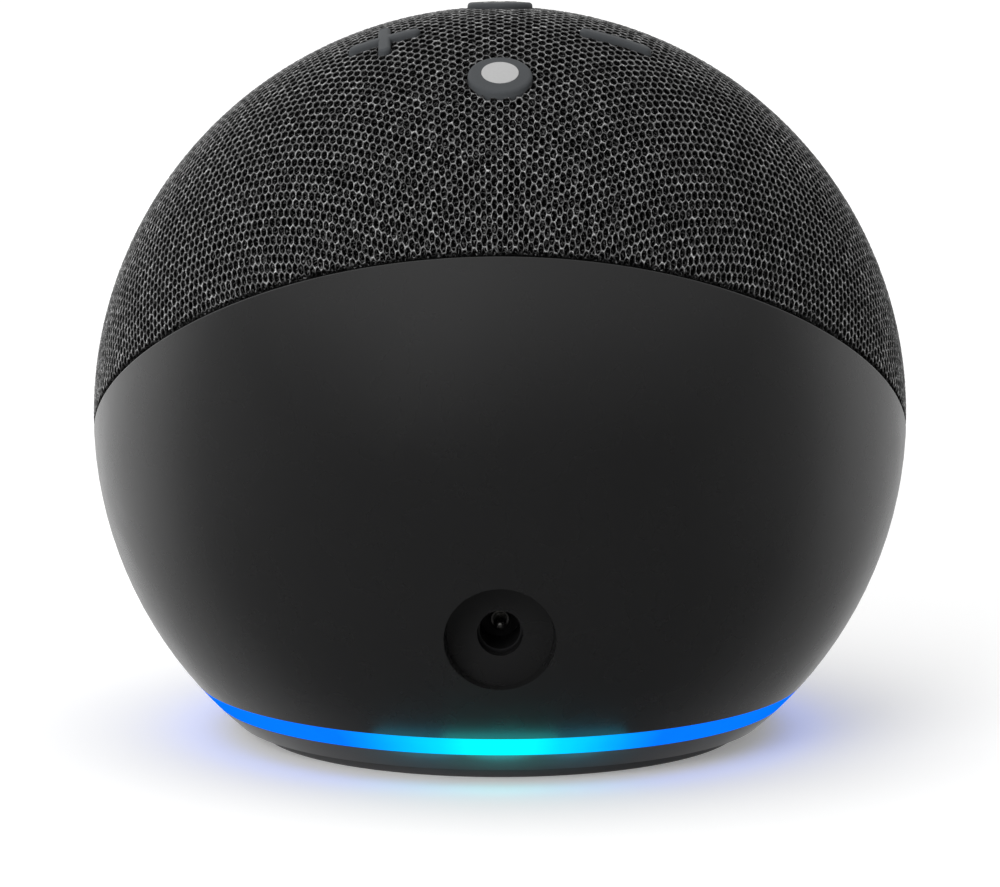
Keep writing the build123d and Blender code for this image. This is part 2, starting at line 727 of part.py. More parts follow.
# ---------------------------------------------------------------- speaker chamber
BOARD_POSTS = [(x, z) for x in (18, -18) for z in (25, 59)]
LEAD_HEIGHT = 59.0
with BuildPart() as speaker_chamber:
    add(
        turned(
            [
                (21.6, CHAMBER_FRONT),
                (CHAMBER_RADIUS, CHAMBER_FRONT),
                (CHAMBER_RADIUS, CHAMBER_BACK),
                (0, CHAMBER_BACK),
                (0, CHAMBER_BACK - CHAMBER_WALL),
                (CHAMBER_RADIUS - CHAMBER_WALL, CHAMBER_BACK - CHAMBER_WALL),
                (CHAMBER_RADIUS - CHAMBER_WALL, CHAMBER_FRONT + 2.4),
                (21.6, CHAMBER_FRONT + 2.4),
            ]
        )
    )
    # a screw boss behind each of the driver's screws
    with BuildSketch(facing_front(CHAMBER_FRONT + 2.4)):
        with PolarLocations(DRIVER_SCREW_CIRCLE, 4, start_angle=45):
            Circle(2.2)
    extrude(amount=-4)
    with BuildSketch(facing_front(CHAMBER_FRONT)):
        with PolarLocations(DRIVER_SCREW_CIRCLE, 4, start_angle=45):
            Circle(1.05)
    extrude(amount=-5.5, mode=Mode.SUBTRACT)
    # feet either side, on the bowl's posts
    for side in (1, -1):
        with Locations((side * 18, -13, CHAMBER_PLATE + 1.3)):
            Box(12, 26, 2.6)
    with BuildSketch(facing_front(CHAMBER_FRONT + 2.4)):
        Circle(CHAMBER_RADIUS - CHAMBER_WALL)
        with PolarLocations(DRIVER_SCREW_CIRCLE, 4, start_angle=45):
            Circle(2.2, mode=Mode.SUBTRACT)
    extrude(amount=-4, mode=Mode.SUBTRACT)
    with BuildSketch(facing_front(CHAMBER_FRONT + 6.4)):
        Circle(CHAMBER_RADIUS - CHAMBER_WALL)
    extrude(amount=-(CHAMBER_BACK - CHAMBER_WALL - CHAMBER_FRONT - 6.4), mode=Mode.SUBTRACT)
    with BuildSketch(Plane.XY.offset(CHAMBER_PLATE)):
        with Locations(*CHAMBER_POSTS):
            Circle(1.25)
    extrude(amount=2.7, mode=Mode.SUBTRACT)
    # posts for the main board and the lead's hole
    with BuildSketch(Plane.XZ.offset(-CHAMBER_BACK)):
        with Locations(*BOARD_POSTS):
            Circle(2.6)
    extrude(amount=-(MAIN_FRONT - CHAMBER_BACK))
    with BuildSketch(Plane.XZ.offset(-MAIN_FRONT)):
        with Locations(*BOARD_POSTS):
            Circle(1.05)
    extrude(amount=6, mode=Mode.SUBTRACT)
    with BuildSketch(Plane.XZ.offset(-CHAMBER_BACK - 1)):
        with Locations((0, LEAD_HEIGHT)):
            Circle(2.6)
    extrude(amount=4, mode=Mode.SUBTRACT)

with BuildPart() as lead_grommet:
    with BuildSketch(Plane.XZ.offset(-CHAMBER_BACK - 0.8)):
        with Locations((0, LEAD_HEIGHT)):
            Circle(3.4)
    extrude(amount=0.75)
    with BuildSketch(Plane.XZ.offset(-CHAMBER_BACK - 0.8)):
        with Locations((0, LEAD_HEIGHT)):
            Circle(2.5)
    extrude(amount=CHAMBER_WALL + 0.8)
    with BuildSketch(Plane.XZ.offset(-CHAMBER_BACK - 1)):
        with Locations((1.1, LEAD_HEIGHT), (-1.1, LEAD_HEIGHT)):
            Circle(0.75)
    extrude(amount=6, mode=Mode.SUBTRACT)

chamber_screws = [screw((x, y, CHAMBER_PLATE + 2.6), (0, 0, -1), *LONG_SCREW) for x, y in CHAMBER_POSTS]
speaker_screws = Compound(children=driver_screws + chamber_screws)

# ---------------------------------------------------------------- main board and what is on it
CHIP_TOP = MAIN_BACK + 1.3
CAN_TOP = MAIN_BACK + 2.2
PAD_TOP = CAN_TOP + 0.8
SINK_BASE = PAD_TOP + 2.0
SINK_TOP = 24.0
SINK_SCREWS = [(23, 46), (-23, 46)]

with BuildPart() as main_board:
    with BuildSketch(Plane.XZ.offset(-MAIN_FRONT)):
        with Locations((0, 42)):
            RectangleRounded(62, 52, 4)
        with Locations(*BOARD_POSTS, *SINK_SCREWS):
            Circle(1.25, mode=Mode.SUBTRACT)
    extrude(amount=-(MAIN_BACK - MAIN_FRONT))

main_board_screws = [screw((x, MAIN_BACK, z), (0, -1, 0), *SHORT_SCREW) for x, z in BOARD_POSTS]

with BuildPart() as main_board_chips:
    with BuildSketch(Plane.XZ.offset(-MAIN_BACK)):
        with Locations((-4, 45)):
            Rectangle(12, 12)
        with Locations((8, 48)):
            Rectangle(7, 9)
        with Locations((8, 39)):
            Rectangle(5, 5)
        with Locations((0, 27)):
            Rectangle(6, 6)
    extrude(amount=-(CHIP_TOP - MAIN_BACK))

with BuildPart() as shield_can:
    with BuildSketch(Plane.XZ.offset(-MAIN_BACK)):
        with Locations((0, 45)):
            RectangleRounded(28, 22, 1)
    extrude(amount=-(CAN_TOP - MAIN_BACK))
    with BuildSketch(Plane.XZ.offset(-MAIN_BACK)):
        with Locations((0, 45)):
            RectangleRounded(27.4, 21.4, 0.7)
    extrude(amount=-(CAN_TOP - MAIN_BACK - 0.3), mode=Mode.SUBTRACT)

with BuildPart() as thermal_pad:
    with BuildSketch(Plane.XZ.offset(-CAN_TOP)):
        with Locations((0, 45)):
            Rectangle(20, 16)
    extrude(amount=-(PAD_TOP - CAN_TOP))

FIN_COUNT = 9
with BuildPart() as heat_sink:
    with BuildSketch(Plane.XZ.offset(-PAD_TOP)):
        with Locations((0, 46)):
            RectangleRounded(54, 32, 3)
    extrude(amount=-(SINK_BASE - PAD_TOP))
    with BuildSketch(Plane.XZ.offset(-SINK_BASE)):
        with Locations((0, 46)):
            with GridLocations(4.6, 1, FIN_COUNT, 1):
                Rectangle(1.4, 28)
    extrude(amount=-(SINK_TOP - SINK_BASE))
    with BuildSketch(Plane.XZ.offset(-MAIN_BACK)):
        with Locations(*SINK_SCREWS):
            Circle(2.3)
    extrude(amount=-(PAD_TOP - MAIN_BACK))
    with BuildSketch(Plane.XZ.offset(-MAIN_BACK)):
        with Locations(*SINK_SCREWS):
            Circle(1.05)
    extrude(amount=-4, mode=Mode.SUBTRACT)

heat_sink_screws = [screw((x, MAIN_FRONT, z), (0, 1, 0), *SHORT_SCREW) for x, z in SINK_SCREWS]

with BuildPart() as capacitors:
    with BuildSketch(Plane.XZ.offset(-MAIN_BACK)):
        with Locations((26, 20), (26, 26.4), (-26, 20), (-26, 26.4)):
            Circle(2.8)
    extrude(amount=-6.5)
    fillet(capacitors.faces().sort_by(Axis.Y)[-4:].edges(), 0.4)

with BuildPart() as wifi_antennas:
    for side in (1, -1):
        with Locations((side * 29.4, (MAIN_BACK + 20) / 2, 60)):
            Box(0.8, 20 - MAIN_BACK, 7)

CONNECTOR_DEEP = 2.2
with BuildPart() as board_connectors:
    with Locations((0, MAIN_BACK + CONNECTOR_DEEP / 2, 65.4)):
        Box(12, CONNECTOR_DEEP, 3)
    with Locations((0, 11, BOARD_BOTTOM - CONNECTOR_DEEP / 2)):
        Box(12, 3, CONNECTOR_DEEP)
    with Locations((0, MAIN_FRONT - 1.5, LEAD_HEIGHT)):
        Box(6, 3, 4)
    with Locations((12, MAIN_BACK + 2.5, 20)):
        Box(6, 5, 5)
    with Locations((0, MAIN_BACK + 1, 19)):
        Box(9, 2, 3)
    with Locations((0, LED_CONNECTOR, LED_BOARD_TOP + 0.6)):
        Box(10, 3.8, 1.2)


def strip(width, thickness, points, radii):
    """A flat cable bent in the plane of Y and Z, through these (y, z) points, with its width along X."""
    with BuildPart() as made:
        with BuildSketch(Plane.YZ.offset(-width / 2)):
            with BuildLine():
                FilletPolyline(*points, radius=radii)
            trace(line_width=thickness)
        extrude(amount=width)
    return made.part


RIBBON_END = MAIN_BACK + CONNECTOR_DEEP / 2
RIBBON_TURN = 15.5
RIBBON_DROP = 69.3
button_cable = strip(
    10,
    0.3,
    [
        (12.55, BOARD_BOTTOM - 1.1),
        (RIBBON_TURN, BOARD_BOTTOM - 1.1),
        (RIBBON_TURN, RIBBON_DROP),
        (RIBBON_END, RIBBON_DROP),
        (RIBBON_END, 66.95),
    ],
    1.1,
)
LED_CABLE_LOW = LED_BOARD_TOP + 0.6
LED_CABLE_BEND = 13.3
led_cable = strip(
    8,
    0.3,
    [
        (LED_CONNECTOR - 2, LED_CABLE_LOW),
        (7.5, LED_CABLE_LOW),
        (7.5, LED_CABLE_BEND),
        (MAIN_BACK + 1.0, LED_CABLE_BEND),
        (MAIN_BACK + 1.0, 17.45),
    ],
    1.4,
)

ribbon_cables = Compound(children=[button_cable, led_cable])


def wire(radius, points, bend):
    """A round wire along a filleted path."""
    with BuildPart() as made:
        with BuildLine() as path:
            FilletPolyline(*points, radius=bend)
        with BuildSketch(Plane(origin=path.line @ 0, z_dir=path.line % 0)):
            Circle(radius)
        sweep(path=path.line)
    return made.part


LEAD_SPREAD = 1.1
TERMINAL_HEIGHT = DRIVER_HEIGHT + YOKE_RADIUS + 1.7
TAB_MIDDLE = 1.3
TAB_WALL = 0.4
with BuildPart() as driver_terminals:
    with Locations((0, YOKE_FRONT + 0.9, TERMINAL_HEIGHT + 0.6)):
        Box(9, 3, 1.2)
    with Locations((LEAD_SPREAD, YOKE_FRONT + 2.4, TERMINAL_HEIGHT + TAB_MIDDLE)):
        Box(1.5, 6, TAB_WALL)
    with Locations((-LEAD_SPREAD, YOKE_FRONT + 2.4, TERMINAL_HEIGHT + TAB_MIDDLE)):
        Box(1.5, 6, TAB_WALL)

LEAD_RADIUS = 0.55
LEAD_LOW = TERMINAL_HEIGHT + TAB_MIDDLE + TAB_WALL / 2 + LEAD_RADIUS
speaker_leads = Compound(
    children=[
        wire(
            LEAD_RADIUS,
            [
                (x, YOKE_FRONT + 2.5, LEAD_LOW),
                (x, -8, LEAD_LOW),
                (x, -5, LEAD_HEIGHT),
                (x, MAIN_FRONT - 3.05, LEAD_HEIGHT),
            ],
            1.5,
        )
        for x in (LEAD_SPREAD, -LEAD_SPREAD)
    ]
)

# ---------------------------------------------------------------- power board and socket
with BuildPart() as power_board:
    with BuildSketch(Plane.XY.offset(POWER_BOARD_BOTTOM)):
        with Locations((0, 27.8)):
            RectangleRounded(20, 19, 1)
        with Locations(*POWER_POSTS):
            Circle(1.25, mode=Mode.SUBTRACT)
    extrude(amount=POWER_BOARD_WALL)

power_board_screws = [screw((x, y, POWER_BOARD_TOP), (0, 0, -1), *SHORT_SCREW) for x, y in POWER_POSTS]
board_screws = Compound(
    children=button_board_screws + main_board_screws + heat_sink_screws + power_board_screws
)

RIM_PROUD = 0.25
with BuildPart() as socket_housing:
    with Locations((0, (JACK_BACK + JACK_FACE - 2 * RIM_PROUD) / 2, SOCKET_HEIGHT)):
        Box(JACK_WIDTH, JACK_FACE - 2 * RIM_PROUD - JACK_BACK, JACK_WIDTH)
    chamfer(socket_housing.edges().filter_by(Axis.Y), 0.8)
    with BuildSketch(facing_rear(JACK_FACE - 2 * RIM_PROUD, SOCKET_HEIGHT)):
        Circle(JACK_RIM)
    extrude(amount=RIM_PROUD)
    with BuildSketch(facing_rear(JACK_FLOOR, SOCKET_HEIGHT)):
        Circle(JACK_BORE)
    extrude(amount=JACK_FACE, mode=Mode.SUBTRACT)
    # the rear end of the housing is bored for the pin and its collar
    with BuildSketch(facing_rear(JACK_BACK, SOCKET_HEIGHT)):
        Circle(COLLAR_RADIUS + 0.02)
    extrude(amount=JACK_FLOOR - JACK_BACK, mode=Mode.SUBTRACT)
    # a slot in one side wall lets the contact reach the plug
    with Locations((-3.1, JACK_FLOOR + 2.7, SOCKET_HEIGHT)):
        Box(2.2, 5.4, 2.4, mode=Mode.SUBTRACT)

with BuildPart() as socket_pin:
    with BuildSketch(facing_rear(JACK_BACK, SOCKET_HEIGHT)):
        Circle(PIN_RADIUS)
    extrude(amount=PIN_TIP - PIN_RADIUS - JACK_BACK)
    with Locations((0, PIN_TIP - PIN_RADIUS, SOCKET_HEIGHT)):
        Sphere(PIN_RADIUS)

with BuildPart() as socket_collar:
    with BuildSketch(facing_rear(JACK_BACK, SOCKET_HEIGHT)):
        Circle(COLLAR_RADIUS)
        Circle(PIN_RADIUS + 0.05, mode=Mode.SUBTRACT)
    extrude(amount=COLLAR_TIP - JACK_BACK)
    chamfer(socket_collar.faces().sort_by(Axis.Y)[-1].edges().sort_by(Edge.length)[-1], 0.12)

CONTACT_WALL = 0.25
with BuildPart() as socket_contact:
    with BuildSketch(Plane.XY.offset(SOCKET_HEIGHT - 1.0)):
        with BuildLine():
            FilletPolyline(
                (-3.95, JACK_FLOOR + 0.2),
                (-3.95, JACK_FLOOR + 3.9),
                (-2.55, JACK_FLOOR + 2.4),
                (-2.9, JACK_FLOOR + 1.4),
                radius=0.3,
            )
        trace(line_width=CONTACT_WALL)
    extrude(amount=2.0)

with BuildPart() as power_board_components:
    with Locations((0, 19.8, POWER_BOARD_TOP + 1.0)):
        Box(5, 2.4, 2)
    with Locations((0, 24.2, POWER_BOARD_TOP + 1.5)):
        Box(5, 4, 3)
    with Locations((8, 31, POWER_BOARD_TOP + 2.2)):
        Cylinder(1.9, 4.4)
    with Locations((-8, 31, POWER_BOARD_TOP + 2.2)):
        Cylinder(1.9, 4.4)

POWER_LEAD_RADIUS = 0.6
POWER_LEAD_ENDS = [(11.0, 25.8), (12.7, 27.5)]
power_leads = Compound(
    children=[
        wire(
            POWER_LEAD_RADIUS,
            [
                (x, MAIN_BACK + 5.05, 20),
                (x, end - 1.6, 20),
                (8.8, end, 20),
                (8.8, end, POWER_BOARD_TOP + 0.02),
            ],
            0.9,
        )
        for x, end in POWER_LEAD_ENDS
    ]
)

# ---------------------------------------------------------------- write every piece
NAMED = {
    "fabric_cover": fabric_cover.part,
    "upper_shell": upper_shell.part,
    "lower_shell": lower_shell.part,
    "light_ring": light_ring.part,
    "light_reflector": light_reflector.part,
    "led_board": led_board.part,
    "leds": leds.part,
    "base_cup": base_cup.part,
    "foot_ring": foot_ring.part,
    "base_cover_disc": base_cover_disc.part,
    "base_screws": base_screws,
    "volume_up_button": volume_up_button.part,
    "volume_down_button": volume_down_button.part,
    "action_button": action_button.part,
    "action_dot": action_dot.part,
    "mic_mute_button": mic_mute_button.part,
    "mic_mute_icon": mic_mute_icon.part,
    "button_board": button_board.part,
    "microphones": microphones.part,
    "microphone_boots": microphone_boots.part,
    "driver_frame": driver_frame.part,
    "driver_gasket": driver_gasket.part,
    "driver_surround": driver_surround.part,
    "driver_cone": driver_cone.part,
    "driver_dust_cap": driver_dust_cap.part,
    "voice_coil": voice_coil,
    "driver_spider": driver_spider,
    "driver_yoke": driver_yoke,
    "driver_magnet": driver_magnet,
    "driver_pole_piece": driver_pole_piece,
    "driver_terminals": driver_terminals.part,
    "speaker_leads": speaker_leads,
    "speaker_chamber": speaker_chamber.part,
    "lead_grommet": lead_grommet.part,
    "speaker_screws": speaker_screws,
    "board_screws": board_screws,
    "main_board": main_board.part,
    "main_board_chips": main_board_chips.part,
    "capacitors": capacitors.part,
    "board_connectors": board_connectors.part,
    "shield_can": shield_can.part,
    "thermal_pad": thermal_pad.part,
    "heat_sink": heat_sink.part,
    "wifi_antennas": wifi_antennas.part,
    "ribbon_cables": ribbon_cables,
    "power_board": power_board.part,
    "power_board_components": power_board_components.part,
    "power_leads": power_leads,
    "socket_housing": socket_housing.part,
    "socket_pin": socket_pin.part,
    "socket_collar": socket_collar.part,
    "socket_contact": socket_contact.part,
}
for name in BUTTONS:
    NAMED[name + "_switch_case"] = switches[name]
    NAMED[name + "_switch_plunger"] = plungers[name]

os.makedirs("parts", exist_ok=True)
for name, shape in NAMED.items():
    shape.label = name
    export_step(shape, "parts/" + name + ".step")
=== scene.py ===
"""Looks for the ball-shaped smart speaker, in metres, in the frame of its CAD model."""
import math

import bpy
import numpy as np
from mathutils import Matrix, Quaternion, Vector

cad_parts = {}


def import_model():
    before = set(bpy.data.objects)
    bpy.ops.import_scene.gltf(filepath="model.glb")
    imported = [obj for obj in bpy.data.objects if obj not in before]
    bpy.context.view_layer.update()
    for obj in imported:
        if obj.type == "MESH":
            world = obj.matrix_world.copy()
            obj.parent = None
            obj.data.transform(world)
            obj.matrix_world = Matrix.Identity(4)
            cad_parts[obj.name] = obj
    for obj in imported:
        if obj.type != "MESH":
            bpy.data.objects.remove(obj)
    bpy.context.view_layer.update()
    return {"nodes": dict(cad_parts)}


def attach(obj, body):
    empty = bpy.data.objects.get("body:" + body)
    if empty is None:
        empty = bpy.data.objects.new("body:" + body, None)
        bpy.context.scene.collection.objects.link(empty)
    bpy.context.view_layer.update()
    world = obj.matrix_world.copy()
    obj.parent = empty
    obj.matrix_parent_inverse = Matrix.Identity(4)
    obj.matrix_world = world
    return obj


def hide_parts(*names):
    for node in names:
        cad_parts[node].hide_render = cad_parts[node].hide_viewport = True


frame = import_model()
MM = 0.001

# ---------------------------------------------------------------- sizes shared with the CAD model
BALL = np.array([0, 0, 39.6]) * MM
BALL_RADIUS = 50 * MM
CLOTH_RADIUS = 49.5 * MM
SEAM_REAR = np.array([41.1, 68.1]) * MM
SEAM_FRONT = np.array([-43, 14]) * MM
SEAM_SAG = 3.6 * MM
SEAM_CHORD = SEAM_REAR - SEAM_FRONT
SEAM_LENGTH = math.hypot(*SEAM_CHORD)
SEAM_BEND = ((SEAM_LENGTH / 2) ** 2 + SEAM_SAG**2) / (2 * SEAM_SAG)
SEAM_UP = np.array([-SEAM_CHORD[1], SEAM_CHORD[0]]) / SEAM_LENGTH
SEAM_CENTRE = (SEAM_REAR + SEAM_FRONT) / 2 + SEAM_UP * (SEAM_BEND - SEAM_SAG)
BUTTON_CIRCLE = 14.2 * MM
BUTTON_CIRCLE_Y = 4.9 * MM
ROUND_BUTTON = 4.0 * MM
BAR_LENGTH = 8.8 * MM
BAR_WIDTH = 1.55 * MM
ACTION_FORESHORTENING = 0.9242

# ---------------------------------------------------------------- the knit's own sizes
STITCH_WIDE = 1.92 * MM
STITCH_HIGH = 1.68 * MM
HEXAGON = np.array([(0.67, 0), (0.29, 0.84), (-0.29, 0.84), (-0.67, 0), (-0.29, -0.84), (0.29, -0.84)]) * MM
YARN_AT_CORNER = 0.19 * MM
YARN_AT_SIDE = 0.095 * MM
YARN_AT_BAR = 0.14 * MM
SIDE_SUNK = 0.04 * MM
KNIT_AXIS_TILT = math.radians(32.8)
SEAM_EDGE = 0.2 * MM
BUTTON_EDGE = 0.1 * MM
BUTTON_OVERLAP = 0.02 * MM
KNIT_REACH = math.radians(96) * BALL_RADIUS
KNIT_COLUMNS = 86
KNIT_ROWS = 50
KNIT_MARGIN = 0.7 * MM
KNIT_CURL = 0.6 * MM
SEAM_DROP = 0.32 * MM
BUTTON_DROP = 0.06 * MM
RIM_DEEP = 0.15 * MM
WALL_DEEP = 0.42 * MM
WALL_FLARE = 1.1
RIDGE_JITTER = 0.04 * MM
PORE_JITTER = 0.04
PORE_SHIFT = 0.025 * MM
BACKING_PITCH = 0.6 * MM
BACKING_MARGIN = 0.6 * MM
BACKING_COUNT = int(math.radians(95) * BALL_RADIUS / BACKING_PITCH)


# ---------------------------------------------------------------- node helpers
class Nodes:
    """A material's node tree, with short ways to add to it."""

    def __init__(self, name, base):
        self.material = bpy.data.materials.new(name)
        self.material.use_nodes = True
        self.tree = self.material.node_tree
        self.shader = self.tree.nodes["Principled BSDF"]
        self.place = self.add("ShaderNodeTexCoord").outputs["Object"]
        for socket, value in base.items():
            self.shader.inputs[socket].default_value = value

    def add(self, kind, inputs=None, **settings):
        node = self.tree.nodes.new(kind)
        for key, value in settings.items():
            setattr(node, key, value)
        for key, value in (inputs or {}).items():
            self.put(node.inputs[key], value)
        return node

    def put(self, socket, value):
        if isinstance(value, bpy.types.NodeSocket):
            self.tree.links.new(value, socket)
        else:
            socket.default_value = value

    def maths(self, operation, *values):
        node = self.add("ShaderNodeMath", operation=operation)
        for socket, value in zip(node.inputs, values):
            self.put(socket, value)
        return node.outputs[0]

    def noise(self, size, detail=2.0, rough=0.5, stretch=(1, 1, 1)):
        """Noise between 0 and 1 whose features are about this size in millimetres."""
        place = self.place
        if stretch != (1, 1, 1):
            place = self.add("ShaderNodeMapping", {"Vector": place, "Scale": stretch}).outputs[0]
        scale = 1 / (size * MM)
        inputs = {"Vector": place, "Scale": scale, "Detail": detail, "Roughness": rough}
        return self.add("ShaderNodeTexNoise", inputs).outputs["Fac"]

    def ramp(self, value, stops):
        """Grey levels or colours at places from 0 to 1, in order."""
        node = self.add("ShaderNodeValToRGB", {"Fac": value})
        set_stops(node.color_ramp, stops)
        return node.outputs["Color"]

    def mix(self, value, first, second, blend="MIX"):
        node = self.add("ShaderNodeMix", data_type="RGBA", blend_type=blend)
        self.put(node.inputs[0], value)
        self.put(node.inputs[6], first if isinstance(first, bpy.types.NodeSocket) else colour_of(first))
        self.put(node.inputs[7], second if isinstance(second, bpy.types.NodeSocket) else colour_of(second))
        return node.outputs[2]

    def bump(self, height, depth, strength):
        """Relief this many millimetres deep."""
        inputs = {"Height": height, "Distance": depth * MM, "Strength": strength}
        self.put(self.shader.inputs["Normal"], self.add("ShaderNodeBump", inputs).outputs["Normal"])

    def look(self, **links):
        names = {"colour": "Base Color", "rough": "Roughness", "glow": "Emission Color"}
        for key, value in links.items():
            self.put(self.shader.inputs[names[key]], value)
        return self.material


def colour_of(value):
    if isinstance(value, (int, float)):
        return (value, value, value, 1)
    return (*value, 1)


def set_stops(color_ramp, stops):
    while len(color_ramp.elements) < len(stops):
        color_ramp.elements.new(0.5)
    for element, (place, colour) in zip(color_ramp.elements, stops):
        element.position = place
        element.color = colour_of(colour)


def scaled(colour, factor):
    return tuple(min(channel * factor, 1) for channel in colour)


# ---------------------------------------------------------------- materials
WAVE_SCALE = 0.314


def moulded(name, colour, rough=0.4, grain=0.25, depth=0.006, spread=0.12, ior=1.5, **extra):
    """Moulded plastic or rubber: a fine mould grain, faint mottling and uneven polish."""
    made = Nodes(name, {"IOR": ior, **extra})
    cloud = made.noise(14, 3)
    fine = made.noise(grain, 2, 0.6)
    mottle = made.mix(cloud, scaled(colour, 1 - spread), scaled(colour, 1 + spread))
    tone = made.mix(made.maths("MULTIPLY", fine, 0.25), mottle, scaled(colour, 1.5))
    polish = made.maths("ADD", made.maths("MULTIPLY", made.noise(5, 3), 0.1), rough - 0.05)
    made.bump(fine, depth, 0.6)
    return made.look(colour=tone, rough=polish)


def metal(name, colour, rough=0.3, brush=(1, 1, 12), grain=0.5, depth=0.004, **extra):
    """Bare or plated metal with a drawn or rolled finish and slight stains."""
    made = Nodes(name, {"Metallic": 1.0, **extra})
    lines = made.noise(grain, 3, 0.6, brush)
    cloud = made.noise(4, 3)
    tone = made.mix(cloud, scaled(colour, 0.82), scaled(colour, 1.08))
    polish = made.maths("ADD", made.maths("MULTIPLY", lines, 0.22), rough - 0.1)
    made.bump(lines, depth, 0.5)
    return made.look(colour=tone, rough=polish)


def circuit_board():
    """Green solder mask over copper tracks, with a sprinkling of plated holes."""
    made = Nodes("look_circuit_board", {"IOR": 1.5, "Coat Weight": 0.35, "Coat Roughness": 0.2})
    track = made.add(
        "ShaderNodeTexBrick",
        {"Vector": made.place, "Scale": 1 / (3 * MM), "Mortar Size": 0.06, "Mortar Smooth": 0.2,
         "Color1": colour_of(0.0), "Color2": colour_of(0.0), "Mortar": colour_of(1.0)},
        offset=0.5,
    ).outputs["Color"]
    holes = made.add("ShaderNodeTexVoronoi", {"Vector": made.place, "Scale": 1 / (2.6 * MM)})
    plated = made.ramp(holes.outputs["Distance"], [(0, 1.0), (0.10, 1.0), (0.13, 0.0)])
    mask = made.mix(made.noise(6, 2), (0.006, 0.075, 0.03), (0.012, 0.12, 0.05))
    tone = made.mix(made.maths("MULTIPLY", track, 0.55), mask, (0.04, 0.24, 0.09))
    tone = made.mix(plated, tone, (0.55, 0.42, 0.2))
    polish = made.maths("ADD", made.maths("MULTIPLY", made.noise(1.2, 2), 0.2), 0.25)
    made.bump(made.maths("ADD", track, plated), 0.03, 0.5)
    return made.look(colour=tone, rough=polish)


def light_band():
    """Milky plastic lit from inside: cyan at the rear and blue all the way round the rest."""
    made = Nodes(
        "look_light_band", {"IOR": 1.46, "Specular IOR Level": 0.0, "Emission Strength": RING_POWER}
    )
    split = made.add("ShaderNodeSeparateXYZ", {"Vector": made.place}).outputs
    turn = made.maths("ABSOLUTE", made.maths("ARCTAN2", split["X"], split["Y"]))
    around = made.maths("DIVIDE", turn, math.pi)
    stops = [(degrees / 180, (0.0015, green / RING_POWER, 1.0)) for degrees, green in RING_GREENS]
    glow = made.ramp(around, stops)
    cloud = made.noise(2.5, 2)
    shade = made.mix(cloud, 0.94, 1.0)
    tone = made.mix(cloud, (0.0, 0.01, 0.05), (0.0, 0.02, 0.07))
    made.bump(made.noise(0.5, 2), 0.004, 0.4)
    polish = made.maths("ADD", made.maths("MULTIPLY", cloud, 0.1), 0.3)
    return made.look(colour=tone, rough=polish, glow=made.mix(1.0, glow, shade, "MULTIPLY"))


def yarn():
    """Charcoal knit yarn: each strand varies; a few fibres get a painted glint, and the yarn is painted darker
    below its crest as painted shade.
    """
    made = Nodes(
        "look_yarn",
        {"IOR": 1.3, "Specular IOR Level": 0.3, "Sheen Weight": 0.02, "Sheen Roughness": 0.4},
    )
    strand = made.noise(0.8, 3, 0.6)
    fibre = made.noise(0.16, 3, 0.65)
    patch = made.noise(4.5, 2)
    level = made.maths("ADD", made.maths("MULTIPLY", strand, 0.55), made.maths("MULTIPLY", fibre, 0.45))
    # The YARN_GLINT stop is a painted highlight: a few fibres are painted near white as glints.
    tone = made.ramp(level, [(0.36, YARN_DARK), (0.5, YARN_MID), (0.6, YARN_LIGHT), (0.67, YARN_GLINT)])
    tone = made.mix(1.0, tone, made.mix(patch, 0.75, 1.0), "MULTIPLY")
    # Painted shade: the yarn is painted darker the deeper it lies below the crest of the knit, down to near
    # black at the pores.
    from_centre = made.add("ShaderNodeVectorMath", {0: made.place, 1: tuple(BALL)}, operation="DISTANCE")
    crest = made.add(
        "ShaderNodeMapRange",
        {"Value": from_centre.outputs["Value"],
         "From Min": BALL_RADIUS - YARN_SHADE_DEPTH, "From Max": BALL_RADIUS},
    ).outputs["Result"]
    depth = made.ramp(crest, [(0, 0.03), (0.3, 0.2), (0.6, 0.7), (0.85, 1.0)])
    tone = made.mix(1.0, tone, depth, "MULTIPLY")
    made.bump(fibre, 0.05, 0.9)
    return made.look(colour=tone, rough=made.maths("ADD", made.maths("MULTIPLY", fibre, 0.3), 0.45))


def yarn_painted_shade():
    """The yarn's flanks, deep in the pores: painted nearly black as painted shade, with a few stray fibres."""
    made = Nodes("look_yarn_flank_painted_shade", {"IOR": 1.3, "Specular IOR Level": 0.1})
    fibre = made.noise(0.2, 3, 0.7)
    tone = made.ramp(fibre, [(0.45, 0.002), (0.6, 0.015), (0.72, 0.15)])
    made.bump(fibre, 0.05, 0.8)
    return made.look(colour=tone, rough=made.maths("ADD", made.maths("MULTIPLY", fibre, 0.2), 0.75))


def backing():
    """Black mesh behind the knit, crossed by fine loose grey fibres."""
    made = Nodes("look_backing_cloth", {"IOR": 1.3, "Specular IOR Level": 0.1})
    cells = made.add(
        "ShaderNodeTexVoronoi", {"Vector": made.place, "Scale": 1 / (0.55 * MM)}, feature="DISTANCE_TO_EDGE"
    )
    thread = made.ramp(cells.outputs["Distance"], [(0.0, 1.0), (0.07, 0.8), (0.13, 0.0)])
    patchy = made.ramp(made.noise(0.45, 3, 0.7), [(0.46, 0.0), (0.58, 0.35), (0.68, 1.0)])
    blend = made.mix(1.0, thread, patchy, "MULTIPLY")
    tone = made.mix(blend, 0.001, BACKING_FIBRE)
    made.bump(thread, 0.04, 0.8)
    polish = made.maths("ADD", made.maths("MULTIPLY", made.noise(1, 2), 0.2), 0.75)
    return made.look(colour=tone, rough=polish)


